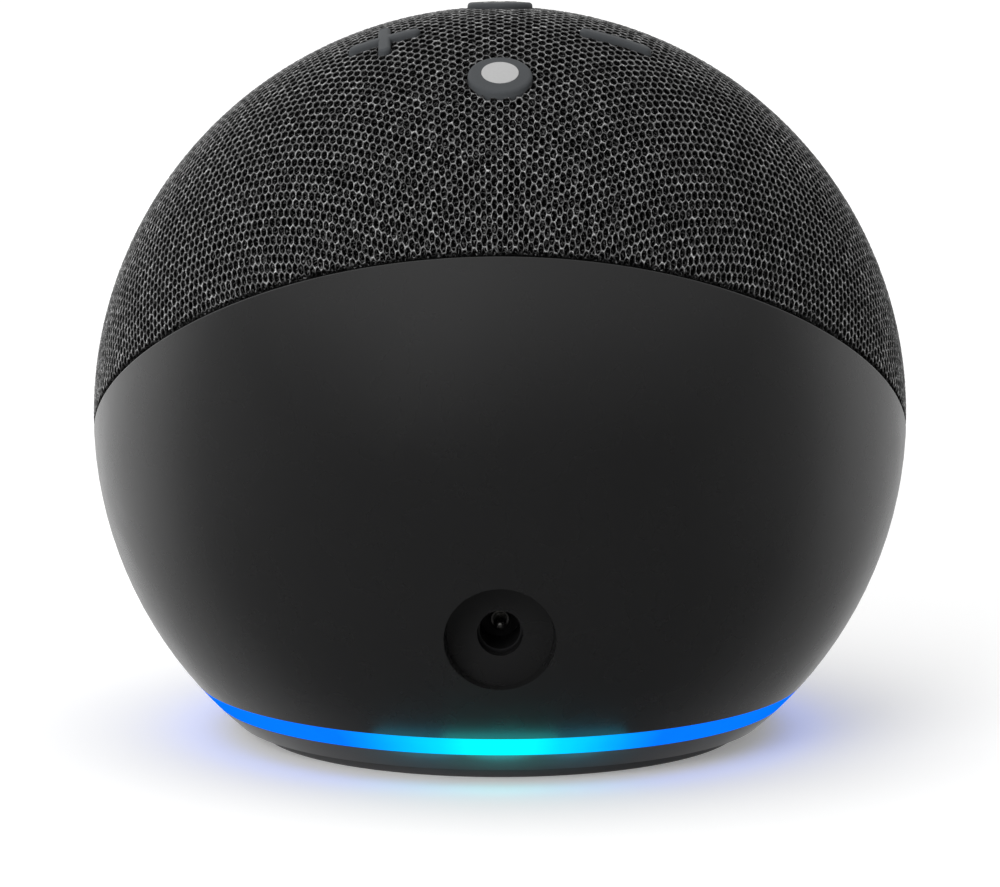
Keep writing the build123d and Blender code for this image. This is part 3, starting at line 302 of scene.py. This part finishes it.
def woven(name, colour, size, depth=0.06, rough=0.8):
    """A plain weave at this thread pitch in millimetres."""
    made = Nodes(name, {"IOR": 1.4})
    inputs = {"Vector": made.place, "Scale": WAVE_SCALE / (size * MM)}
    across = made.add("ShaderNodeTexWave", inputs, bands_direction="X")
    along = made.add("ShaderNodeTexWave", inputs, bands_direction="Z")
    weave = made.maths("MULTIPLY", across.outputs["Fac"], along.outputs["Fac"])
    tone = made.mix(weave, scaled(colour, 0.55), scaled(colour, 1.15))
    made.bump(weave, depth, 0.8)
    polish = made.maths("ADD", made.maths("MULTIPLY", weave, 0.1), rough - 0.05)
    return made.look(colour=tone, rough=polish)


def wound(name, colour, size):
    """Enamelled wire wound round the Y axis."""
    made = Nodes(name, {"Metallic": 0.8, "Coat Weight": 0.4})
    inputs = {"Vector": made.place, "Scale": WAVE_SCALE / (size * MM)}
    turns = made.add("ShaderNodeTexWave", inputs, bands_direction="Y")
    tone = made.mix(turns.outputs["Fac"], scaled(colour, 0.5), scaled(colour, 1.1))
    made.bump(turns.outputs["Fac"], 0.05, 0.8)
    return made.look(colour=tone, rough=made.maths("ADD", made.maths("MULTIPLY", made.noise(1, 2), 0.1), 0.25))


RING_POWER = 1.25
RING_GREENS = [(0, 1.2), (6, 1.05), (12, 0.75), (17, 0.61), (22, 0.45), (27, 0.31), (33, 0.2),
               (55, 0.2), (80, 0.175), (120, 0.17), (180, 0.17)]
YARN_DARK = 0.07
YARN_MID = 0.2
YARN_LIGHT = 0.56
YARN_GLINT = 0.95
# How far below the crest the yarn's painted shade reaches.
YARN_SHADE_DEPTH = 0.17 * MM
BACKING_FIBRE = 0.23

LOOKS = {
    "fabric": yarn(),
    "shell_plastic": moulded("look_shell_plastic", (0.011, 0.011, 0.0112), 0.27, 0.3, 0.003, 0.06),
    "inner_plastic": moulded("look_inner_plastic", (0.02, 0.02, 0.022), 0.5, 0.4, 0.01),
    "light_plastic": light_band(),
    "white_plastic": moulded("look_white_plastic", (0.8, 0.8, 0.78), 0.45, 0.5, 0.006, 0.04),
    "button_rubber": moulded(
        "look_button_rubber", (0.057, 0.061, 0.065), 0.62, 0.22, 0.006, 0.08, **{"Specular IOR Level": 0.22}
    ),
    "icon_plastic": moulded("look_icon_plastic", (0.4, 0.4, 0.4), 0.5, 0.3, 0.004, 0.04),
    "foot_rubber": moulded("look_foot_rubber", (0.065, 0.065, 0.067), 0.6, 0.3, 0.01, 0.1),
    "base_plastic": moulded("look_base_plastic", (0.032, 0.0325, 0.033), 0.3, 0.3, 0.004, 0.08),
    "label_plastic": moulded("look_label_plastic", (0.022, 0.022, 0.023), 0.6, 0.45, 0.02, 0.1),
    "steel": metal("look_steel", (0.55, 0.55, 0.56), 0.32, (1, 12, 1)),
    "zinc_steel": metal("look_zinc_steel", (0.66, 0.66, 0.62), 0.35, (1, 1, 1), 0.6),
    "nickel": metal("look_nickel", (0.62, 0.61, 0.58), 0.26, (1, 10, 1), 0.35),
    "circuit_board": circuit_board(),
    "chip_black": moulded("look_chip_black", (0.014, 0.014, 0.015), 0.42, 0.2, 0.008),
    "connector_plastic": moulded("look_connector_plastic", (0.74, 0.7, 0.6), 0.4, 0.4, 0.005, 0.05),
    "cable_plastic": moulded("look_cable_plastic", (0.7, 0.7, 0.69), 0.35, 0.6, 0.01, 0.05),
    "lead_sleeve": moulded("look_lead_sleeve", (0.3, 0.02, 0.02), 0.35, 0.6, 0.006, 0.1),
    "aluminium": metal("look_aluminium", (0.7, 0.7, 0.71), 0.42, (1, 1, 1), 0.3, 0.01),
    "pad_rubber": moulded("look_pad_rubber", (0.3, 0.34, 0.38), 0.7, 0.5, 0.03, 0.1),
    "surround_rubber": moulded("look_surround_rubber", (0.018, 0.018, 0.018), 0.48, 0.4, 0.008, 0.1),
    "cone_paper": moulded("look_cone_paper", (0.028, 0.027, 0.026), 0.8, 0.7, 0.06, 0.25),
    "spider_fabric": woven("look_spider_fabric", (0.45, 0.32, 0.13), 0.5),
    "coil_copper": wound("look_coil_copper", (0.72, 0.35, 0.18), 0.22),
    "magnet": metal("look_magnet", (0.3, 0.3, 0.31), 0.4, (1, 1, 1), 0.8, 0.01),
    "frame_steel": moulded("look_frame_steel", (0.02, 0.02, 0.022), 0.4, 0.35, 0.015, 0.1),
    "gasket_rubber": moulded("look_gasket_rubber", (0.02, 0.02, 0.02), 0.85, 0.5, 0.06, 0.2),
    "capacitor": metal("look_capacitor", (0.42, 0.42, 0.44), 0.35, (1, 1, 8)),
    "led_white": moulded("look_led_white", (0.85, 0.83, 0.7), 0.25, 0.4, 0.004, 0.04),
}

for node in frame["nodes"].values():
    slot = node.data.materials[0].name.split(".")[0]
    node.data.materials[0] = LOOKS[slot]


# ---------------------------------------------------------------- the ball's surface
def on_ball(flat, radius):
    """Points of the flat cut, wrapped on the ball about the knit's axis."""
    turn = np.arctan2(flat[:, 0], flat[:, 1])
    away = np.hypot(flat[:, 0], flat[:, 1]) / BALL_RADIUS
    pole = np.array([0, -math.sin(KNIT_AXIS_TILT), math.cos(KNIT_AXIS_TILT)])
    right = np.array([1.0, 0, 0])
    up = np.array([0, math.cos(KNIT_AXIS_TILT), math.sin(KNIT_AXIS_TILT)])
    ways = np.outer(np.cos(away), pole) + np.outer(np.sin(away) * np.sin(turn), right)
    ways += np.outer(np.sin(away) * np.cos(turn), up)
    return BALL + ways * np.broadcast_to(radius, len(flat))[:, None]


def seam_height(points):
    """How far each point is above the seam, along the seam's own up direction."""
    return SEAM_BEND - np.hypot(points[:, 1] - SEAM_CENTRE[0], points[:, 2] - SEAM_CENTRE[1])


def capsule(across, along, half, radius):
    return np.hypot(np.maximum(np.abs(across) - half, 0), along) - radius


def button_distance(points):
    """How far each point is outside the nearest button's outline, in plan."""
    x, y = points[:, 0], points[:, 1]
    half, radius = (BAR_LENGTH - BAR_WIDTH) / 2, BAR_WIDTH / 2
    action_y = (y - BUTTON_CIRCLE_Y - BUTTON_CIRCLE) / ACTION_FORESHORTENING
    distances = [
        (np.hypot(x, action_y) - ROUND_BUTTON) * ACTION_FORESHORTENING,
        np.hypot(x, y - BUTTON_CIRCLE_Y + BUTTON_CIRCLE) - ROUND_BUTTON,
        capsule(x - BUTTON_CIRCLE, y - BUTTON_CIRCLE_Y, half, radius),
        capsule(y - BUTTON_CIRCLE_Y, x - BUTTON_CIRCLE, half, radius),
        capsule(x + BUTTON_CIRCLE, y - BUTTON_CIRCLE_Y, half, radius),
    ]
    away = np.min(distances, axis=0)
    return np.where(points[:, 2] > BALL[2], away, 1.0)


def with_radius(points, radius):
    """The same plan positions or directions, brought to this distance from the ball's centre."""
    ways = points - BALL
    return BALL + ways * (radius / np.linalg.norm(ways, axis=1))[:, None]


def tucked_in(points, seam_edge, button_edge, curl, seam_drop, button_drop):
    """Ends the cloth at the seam and round the buttons, where its edge turns down into the gap."""
    radius = np.linalg.norm(points - BALL, axis=1)
    above = seam_height(points)
    beyond = np.clip(seam_edge - above, 0, None)
    spoke = points[:, 1:] - SEAM_CENTRE
    spoke /= np.linalg.norm(spoke, axis=1)[:, None]
    points = points.copy()
    points[:, 1:] -= spoke * beyond[:, None]
    step = 0.01 * MM
    for _ in range(2):
        away = button_distance(points)
        slope = np.zeros((len(points), 2))
        for axis in (0, 1):
            moved = points.copy()
            moved[:, axis] += step
            slope[:, axis] = (button_distance(moved) - away) / step
        inside = np.clip(button_edge - away, 0, None)
        points[:, :2] += slope * inside[:, None]
    seam_near = np.clip(1 - (seam_height(points) - seam_edge) / curl, 0, 1)
    button_near = np.clip(1 - (button_distance(points) - button_edge) / curl, 0, 1)
    return with_radius(points, radius - seam_drop * seam_near**2 - button_drop * button_near**2)


def clear_of_buttons(points, faces):
    """The faces that do not reach across a button."""
    corners = points[faces]
    halfway = (corners + np.roll(corners, -1, axis=1)) / 2
    middle = corners.mean(axis=1)
    clear = button_distance(middle) > -BUTTON_OVERLAP
    for side in range(4):
        clear &= button_distance(halfway[:, side]) > -BUTTON_OVERLAP
    return clear


def mesh_piece(name, points, faces, material):
    mesh = bpy.data.meshes.new(name)
    mesh.from_pydata(points.tolist(), [], faces.tolist())
    mesh.materials.append(material)
    mesh.shade_smooth()
    piece = bpy.data.objects.new(name, mesh)
    bpy.context.scene.collection.objects.link(piece)
    return piece


def kept(points, faces):
    """Only the faces given, and only the points that they use."""
    used, renumbered = np.unique(faces, return_inverse=True)
    return points[used], renumbered.reshape(faces.shape)


# ---------------------------------------------------------------- the knit
def knit():
    """An open knit: one pore in each stitch, round ridges of yarn between the pores."""
    chance = np.random.default_rng(7)
    columns, rows = np.meshgrid(
        np.arange(-KNIT_COLUMNS, KNIT_COLUMNS + 1), np.arange(-KNIT_ROWS, KNIT_ROWS + 1), indexing="ij"
    )
    columns, rows = columns.ravel(), rows.ravel()
    centres = np.stack([columns * STITCH_WIDE / 2, (rows + (columns % 2) / 2) * STITCH_HIGH], axis=1)
    centres = centres[np.hypot(centres[:, 0], centres[:, 1]) < KNIT_REACH]
    there = on_ball(centres, BALL_RADIUS)
    centres = centres[(seam_height(there) > -KNIT_MARGIN) & (button_distance(there) > -KNIT_MARGIN)]
    around = np.empty((12, 2))
    around[0::2] = HEXAGON
    around[1::2] = (HEXAGON + np.roll(HEXAGON, -1, axis=0)) / 2
    corners = (centres[:, None, :] + around[None]).reshape(-1, 2)
    keys = np.round(corners / (0.01 * MM)).astype(int)
    _, first, which = np.unique(keys, axis=0, return_index=True, return_inverse=True)
    which = which.reshape(-1)
    ridge = corners[first]
    place = first % 12
    is_side = (place % 2 == 1) & (place != 3) & (place != 9)
    ridge = ridge + chance.normal(0, RIDGE_JITTER, ridge.shape)
    ridge_radius = BALL_RADIUS - chance.uniform(0, RIDGE_JITTER, len(ridge)) - is_side * SIDE_SUNK
    reach = np.hypot(around[:, 0], around[:, 1])
    inset = np.where(np.arange(12) % 2 == 0, YARN_AT_CORNER, YARN_AT_SIDE)
    inset[[3, 9]] = YARN_AT_BAR
    pore = around * (1 - inset / reach)[:, None]
    size = chance.normal(1.0, PORE_JITTER, (len(centres), 1, 1))
    size = size + chance.normal(0, PORE_JITTER, (len(centres), 12, 1))
    shift = chance.normal(0, PORE_SHIFT, (len(centres), 1, 2))
    rim = (centres[:, None, :] + shift + pore[None] * size).reshape(-1, 2)
    wall = (centres[:, None, :] + shift + pore[None] * size * WALL_FLARE).reshape(-1, 2)
    ridge_points = on_ball(ridge, ridge_radius)
    rim_points = on_ball(rim, BALL_RADIUS - RIM_DEEP)
    wall_points = on_ball(wall, BALL_RADIUS - WALL_DEEP)
    points = np.concatenate([ridge_points, rim_points, wall_points])
    points = tucked_in(points, SEAM_EDGE, BUTTON_EDGE, KNIT_CURL, SEAM_DROP, BUTTON_DROP)
    index = np.arange(len(corners)).reshape(-1, 12)
    after = np.roll(index, -1, axis=1)
    rim_start, wall_start = len(ridge), len(ridge) + len(corners)
    slopes = np.stack([which[index], which[after], rim_start + after, rim_start + index], axis=2)
    walls = np.stack(
        [rim_start + index, rim_start + after, wall_start + after, wall_start + index], axis=2
    )
    faces = np.concatenate([slopes.reshape(-1, 4), walls.reshape(-1, 4)])
    clear = clear_of_buttons(points, faces)
    is_wall = np.repeat([0, 1], len(faces) // 2)[clear]
    points, faces = kept(points, faces[clear])
    piece = mesh_piece("knit_cover", points, faces, LOOKS["fabric"])
    # The pore walls get the yarn's flanks, painted nearly black as painted shade.
    piece.data.materials.append(yarn_painted_shade())
    piece.data.polygons.foreach_set("material_index", is_wall)
    return piece


def backing_cloth():
    """The closed cloth that shows black through the knit's pores."""
    steps = np.arange(-BACKING_COUNT, BACKING_COUNT + 1) * BACKING_PITCH
    u, v = np.meshgrid(steps, steps, indexing="ij")
    flat = np.stack([u.ravel(), v.ravel()], axis=1)
    points = on_ball(flat, CLOTH_RADIUS)
    good = np.hypot(flat[:, 0], flat[:, 1]) < KNIT_REACH
    good &= seam_height(points) > -BACKING_MARGIN
    good &= button_distance(points) > -BACKING_MARGIN
    number = np.arange(len(flat)).reshape(u.shape)
    faces = np.stack([number[:-1, :-1], number[1:, :-1], number[1:, 1:], number[:-1, 1:]], axis=2)
    faces = faces.reshape(-1, 4)
    faces = faces[good[faces].all(axis=1)]
    points = tucked_in(points, 0.3 * MM, 0.16 * MM, 0.5 * MM, 0.05 * MM, 0)
    points, faces = kept(points, faces[clear_of_buttons(points, faces)])
    return mesh_piece("backing_cloth", points, faces, backing())


cover = knit()
lining = backing_cloth()
for piece in (cover, lining):
    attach(piece, "housing")
    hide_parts("fabric_cover")


# ---------------------------------------------------------------- the room
FLOOR_HALF = 6.0
FLOOR_GLOW = 0.23
WORLD_DEPTH = [(-1, 1.55), (-0.45, 1.25), (-0.1, 0.48), (0.25, 0.27), (0.5, 0.13), (0.8, 0.06), (1, 0.05)]
WORLD_HEIGHT = [(-1, 0.0), (0.0, 0.04), (0.26, 0.3), (0.5, 0.58), (0.85, 0.95), (1, 1.05)]
WORLD_LEVEL = [(-1, 0.12), (-0.5, 0.39), (-0.3, 0.66), (-0.1, 0.77), (0.05, 0.82), (0.35, 0.68),
               (0.6, 0.85), (1, 0.85)]
WORLD_ACROSS = [(-1, 0.88), (-0.6, 0.67), (-0.2, 0.72), (0.3, 1.03), (1, 1.0)]
SPILL_CIRCLE = 35.9 * MM
SPILL_HEIGHT = 0.4 * MM
SPILL_SIZE = (17 * MM, 4.6 * MM)


def floor():
    """A plain pale floor."""
    made = Nodes("look_floor", {"IOR": 1.4, "Specular IOR Level": 0.0, "Emission Strength": FLOOR_GLOW})
    cloud = made.noise(60, 3)
    made.bump(made.noise(3, 2), 0.01, 0.2)
    polish = made.maths("ADD", made.maths("MULTIPLY", cloud, 0.1), 0.8)
    made.look(colour=made.mix(cloud, 0.90, 0.92), rough=polish, glow=colour_of(1.0))
    corners = np.array([(-1, -1, 0), (1, -1, 0), (1, 1, 0), (-1, 1, 0)]) * FLOOR_HALF
    plane = mesh_piece("floor", corners, np.array([[0, 1, 2, 3]]), made.material)
    plane.visible_glossy = False


def world():
    """Studio light: white behind and overhead, dim on the side that the socket faces."""
    scene_world = bpy.data.worlds.new("studio")
    bpy.context.scene.world = scene_world
    scene_world.use_nodes = True
    tree = scene_world.node_tree
    tree.nodes.clear()
    way = tree.nodes.new("ShaderNodeTexCoord").outputs["Generated"]
    split = tree.nodes.new("ShaderNodeSeparateXYZ")
    tree.links.new(way, split.inputs[0])

    def ramp_of(value, stops):
        shift = tree.nodes.new("ShaderNodeMapRange")
        shift.inputs["From Min"].default_value = -1
        tree.links.new(value, shift.inputs["Value"])
        node = tree.nodes.new("ShaderNodeValToRGB")
        set_stops(node.color_ramp, [((place + 1) / 2, level) for place, level in stops])
        tree.links.new(shift.outputs[0], node.inputs["Fac"])
        return node.outputs["Color"]

    depth = ramp_of(split.outputs["Y"], WORLD_DEPTH)
    height = ramp_of(split.outputs["Z"], WORLD_HEIGHT)
    brighter = tree.nodes.new("ShaderNodeMix")
    brighter.data_type, brighter.blend_type = "RGBA", "LIGHTEN"
    brighter.inputs[0].default_value = 1.0
    tree.links.new(depth, brighter.inputs[6])
    tree.links.new(height, brighter.inputs[7])
    level = brighter.outputs[2]
    for socket, stops in (("Z", WORLD_LEVEL), ("X", WORLD_ACROSS)):
        dimmer = tree.nodes.new("ShaderNodeMix")
        dimmer.data_type, dimmer.blend_type = "RGBA", "MULTIPLY"
        dimmer.inputs[0].default_value = 1.0
        tree.links.new(level, dimmer.inputs[6])
        tree.links.new(ramp_of(split.outputs[socket], stops), dimmer.inputs[7])
        level = dimmer.outputs[2]
    lit = tree.nodes.new("ShaderNodeBackground")
    tree.links.new(level, lit.inputs["Color"])
    plain = tree.nodes.new("ShaderNodeBackground")
    plain.inputs["Color"].default_value = colour_of(1.0)
    seen = tree.nodes.new("ShaderNodeLightPath").outputs["Is Camera Ray"]
    mixed = tree.nodes.new("ShaderNodeMixShader")
    tree.links.new(seen, mixed.inputs[0])
    tree.links.new(lit.outputs[0], mixed.inputs[1])
    tree.links.new(plain.outputs[0], mixed.inputs[2])
    tree.links.new(mixed.outputs[0], tree.nodes.new("ShaderNodeOutputWorld").inputs["Surface"])


def lamp(name, place, aim, size, power, colour=(1, 1, 1), gloss=True, shape="RECTANGLE", turn=0):
    """An area light, turned about the vertical by this many degrees."""
    data = bpy.data.lights.new(name, "AREA")
    data.shape = shape
    data.size, data.size_y = size
    data.energy = power
    data.color = colour
    lit = bpy.data.objects.new(name, data)
    lit.location = place
    lit.rotation_mode = "QUATERNION"
    facing = (Vector(aim) - Vector(place)).to_track_quat("-Z", "Y")
    lit.rotation_quaternion = Quaternion((0, 0, 1), math.radians(turn)) @ facing
    lit.visible_glossy = gloss
    lit.visible_camera = False
    bpy.context.scene.collection.objects.link(lit)


floor()
world()
lamp("overhead", (0, 0, 1.4), (0, 0, 0), (1.6, 1.6), 6.2, gloss=False)
lamp("key", (0.6, 1.2, 0.5), (0, 0, 0.05), (0.8, 0.8), 11.6, gloss=False)
for name, turn, power, colour in (
    ("ring_spill", 0, 0.0006, (0.03, 1, 1)),
    ("ring_spill_left", 16, 0.0003, (0.02, 0.7, 1)),
    ("ring_spill_right", -16, 0.0003, (0.02, 0.7, 1)),
):
    x = SPILL_CIRCLE * math.sin(math.radians(turn))
    y = SPILL_CIRCLE * math.cos(math.radians(turn))
    lamp(name, (x, y, SPILL_HEIGHT), (x, y, 1), SPILL_SIZE, power, colour, shape="ELLIPSE", turn=-turn)

# ---------------------------------------------------------------- camera
CAMERA_RAISE = math.radians(12)
CAMERA_DISTANCE = 2.5
AIM_BELOW_CENTRE = 3.81 * MM
VIEW_WIDTH = 123.03 * MM
camera_data = bpy.data.cameras.new("camera")
camera_data.type = "ORTHO"
camera_data.ortho_scale = VIEW_WIDTH
camera_data.clip_start, camera_data.clip_end = 0.05, 50
camera = bpy.data.objects.new("camera", camera_data)
backwards = Vector((0, math.cos(CAMERA_RAISE), math.sin(CAMERA_RAISE)))
upwards = Vector((0, -math.sin(CAMERA_RAISE), math.cos(CAMERA_RAISE)))
camera.location = Vector(BALL) - upwards * AIM_BELOW_CENTRE + backwards * CAMERA_DISTANCE
camera.rotation_mode = "QUATERNION"
camera.rotation_quaternion = (-backwards).to_track_quat("-Z", "Y")
bpy.context.scene.collection.objects.link(camera)
bpy.context.scene.camera = camera
bpy.context.scene.view_settings.view_transform = "Standard"
